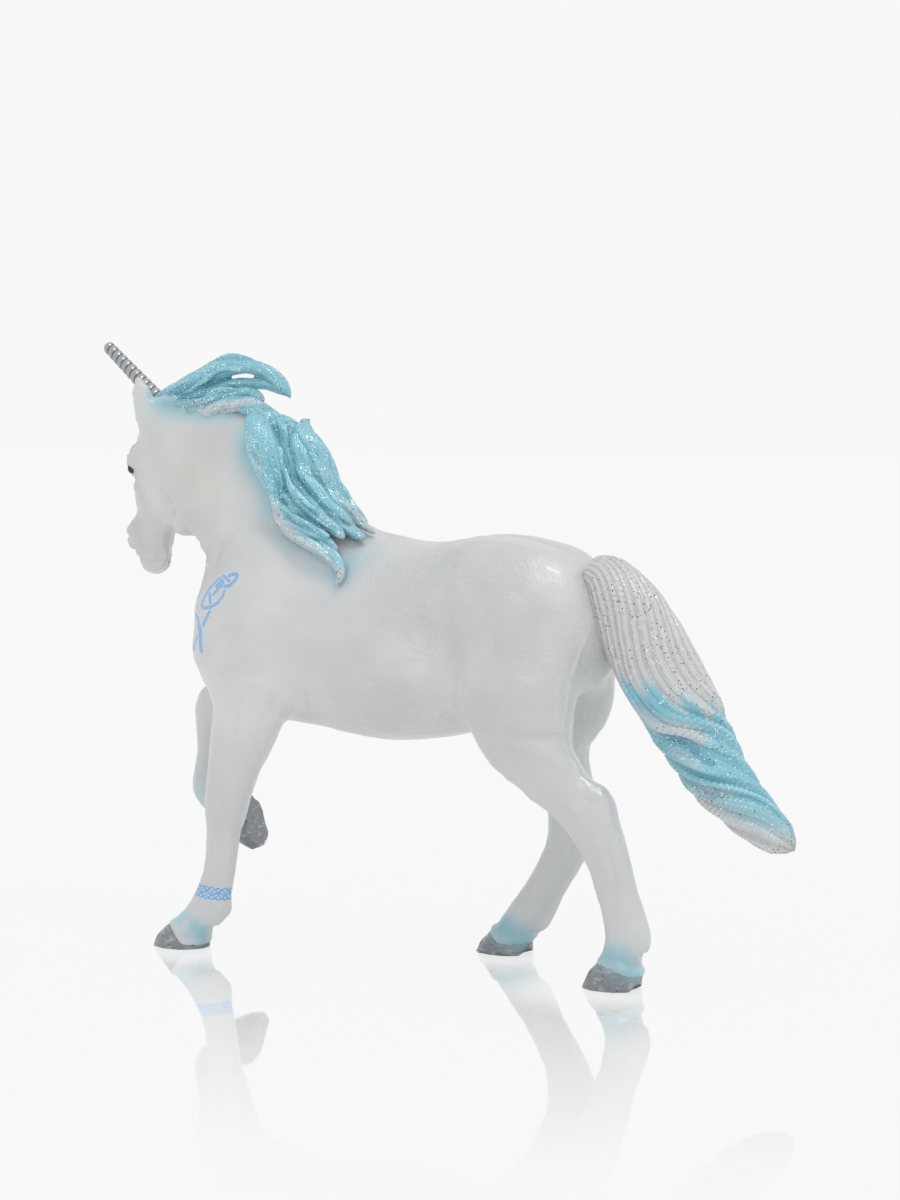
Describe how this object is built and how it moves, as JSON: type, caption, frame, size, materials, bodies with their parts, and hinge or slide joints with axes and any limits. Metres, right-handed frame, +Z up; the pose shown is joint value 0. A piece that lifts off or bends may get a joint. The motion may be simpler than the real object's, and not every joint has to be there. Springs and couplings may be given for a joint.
{
  "type": "unicorn figurine",
  "caption": "Unicorn figurine standing with one foreleg raised, with a flowing mane and tail and a ridged horn, moulded in pieces that plug together.",
  "frame": {"origin": "middle of the bounding box at the floor, under the standing hooves", "axes": "+X towards the tail, so the figure faces -X; -Y towards the animal's left side; +Z up"},
  "size_m": [0.1474, 0.0308, 0.1131],
  "materials": {
    "pearl_body": "solid PVC with pearl-white paint, satin sheen",
    "turquoise_hair": "solid PVC with turquoise pearl paint and silver glitter",
    "pearl_tail": "solid PVC, pearl white fading to turquoise, silver glitter",
    "silver_horn": "PVC with silver metallic paint"
  },
  "bodies": {
    "root": {"torso": "pearl_body", "head_and_neck": "pearl_body", "left_foreleg": "pearl_body", "right_foreleg": "pearl_body", "left_hindleg": "pearl_body", "right_hindleg": "pearl_body", "left_mane": "turquoise_hair", "crest_mane": "turquoise_hair", "right_mane": "turquoise_hair", "forelock": "turquoise_hair", "tail": "pearl_tail", "horn": "silver_horn"}
  },
  "joints": []
}
